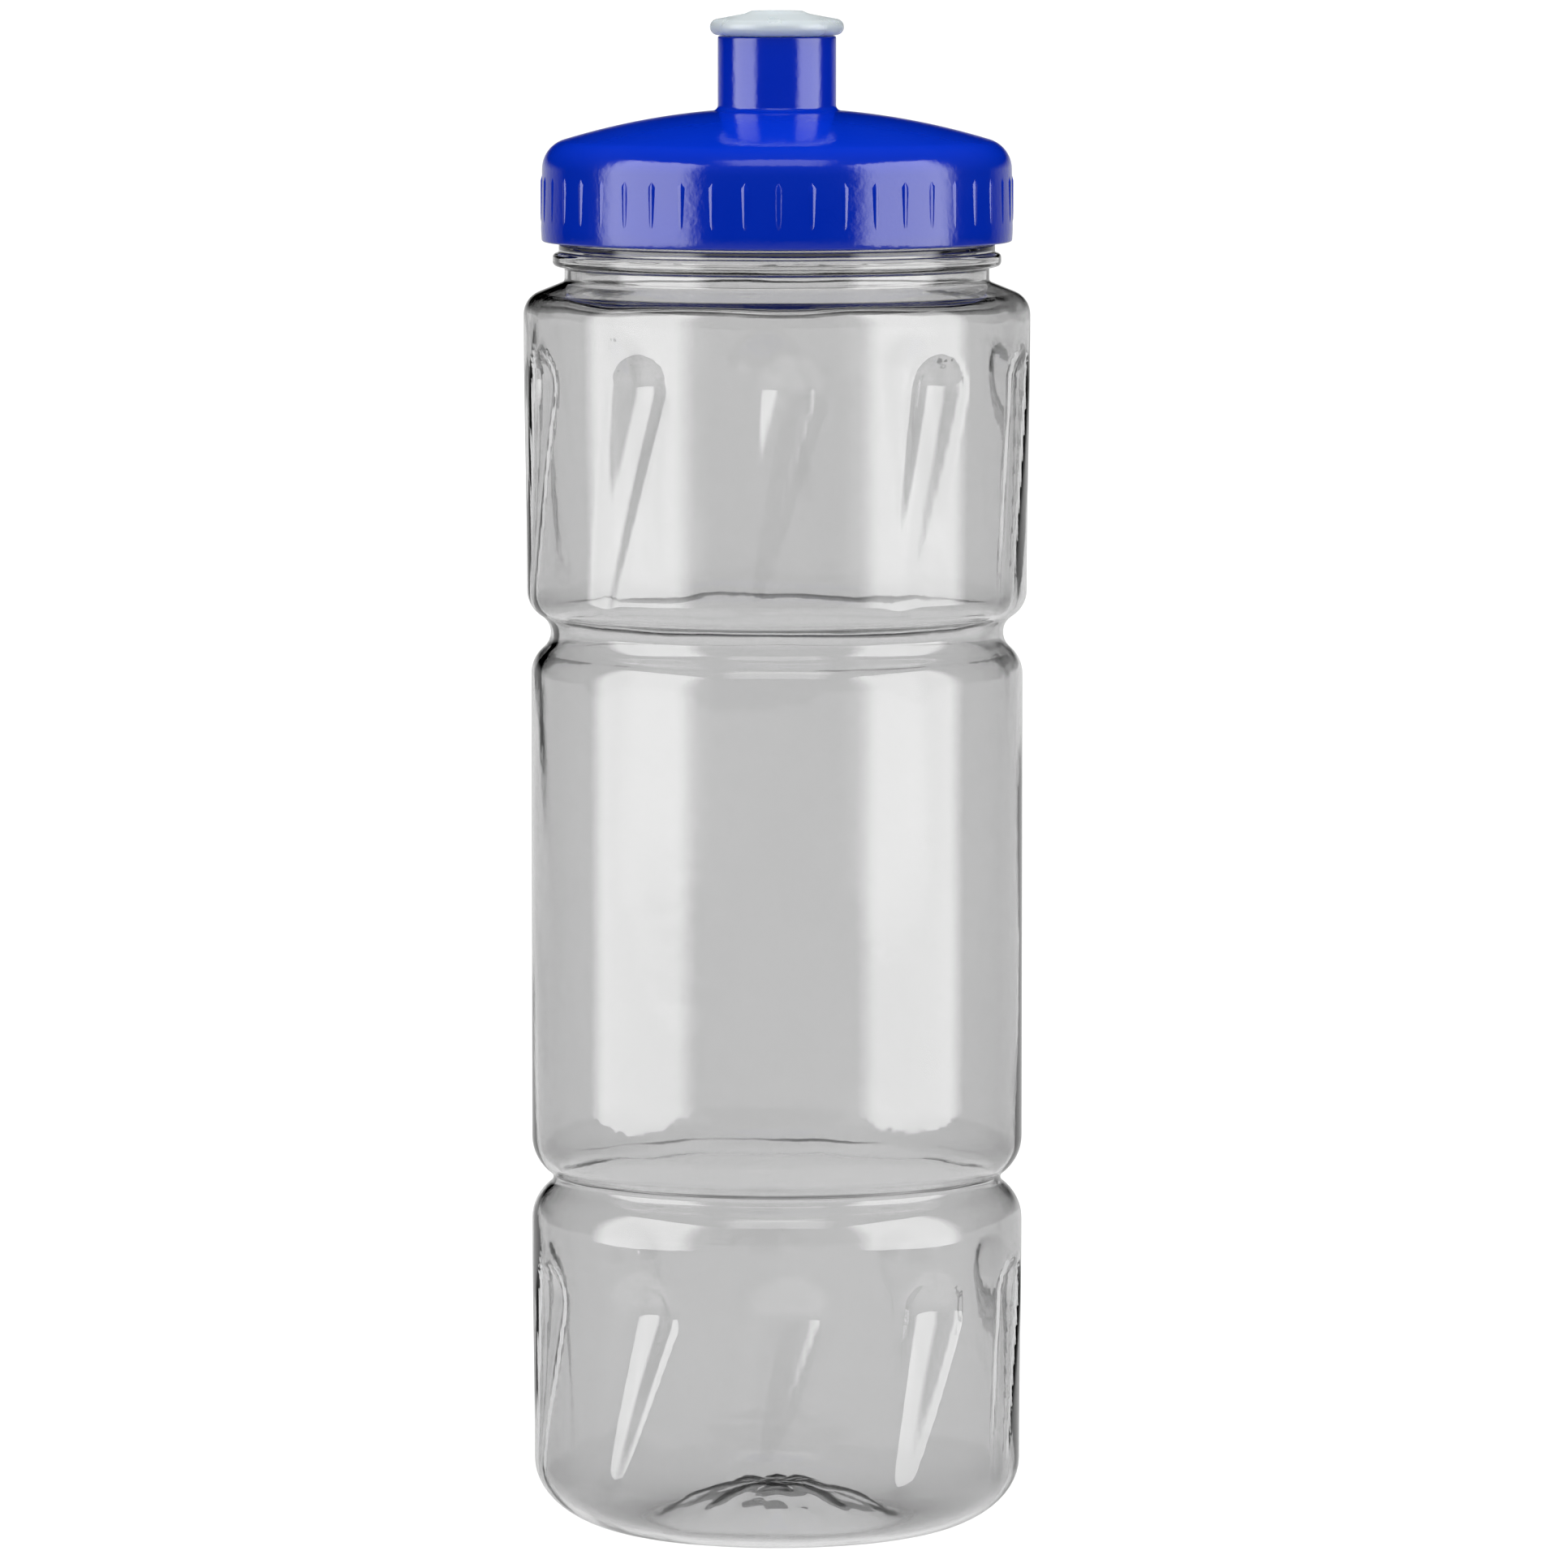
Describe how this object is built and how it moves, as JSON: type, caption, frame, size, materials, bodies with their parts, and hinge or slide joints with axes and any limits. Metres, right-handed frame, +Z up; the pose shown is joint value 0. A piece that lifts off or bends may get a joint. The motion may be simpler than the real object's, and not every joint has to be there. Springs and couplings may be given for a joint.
{
  "type": "sports squeeze bottle",
  "caption": "Clear squeeze bottle with slanted grip flutes, two waist grooves, a ribbed screw lid and a push-pull drinking tip.",
  "frame": {"origin": "middle of the standing ring, on the surface that the bottle stands on", "axes": "+Z up along the bottle's axis; -Y towards the viewer, +X to the viewer's right"},
  "size_m": [0.075, 0.0748, 0.2255],
  "materials": {
    "clear_body": "clear, glossy blow-moulded wall",
    "seal": "smooth, matte",
    "lid_plastic": "opaque deep blue, glossy",
    "soft_tip": "translucent, slightly frosted"
  },
  "bodies": {
    "bottle": {"bottle": "clear_body"},
    "gasket": {"lid_gasket": "seal"},
    "lid": {"lid": "lid_plastic"},
    "tip": {"drinking_tip": "soft_tip"}
  },
  "joints": [
    {"name": "lid_lift", "type": "slide", "parent": "bottle", "child": "gasket", "axis": [0, 0, 1], "range_m": [0, 0.0145]},
    {"name": "lid_turn", "type": "hinge", "parent": "gasket", "child": "lid", "pos_m": [0, 0, 0.2], "axis": [0, 0, 1], "range_deg": [0, 1080]},
    {"name": "tip_pull", "type": "slide", "parent": "lid", "child": "tip", "axis": [0, 0, 1], "range_m": [0, 0.008]}
  ],
  "couplings": [
    {"joint": "lid_lift", "follows": "lid_turn", "m_per_rad": 0.00076394}
  ]
}
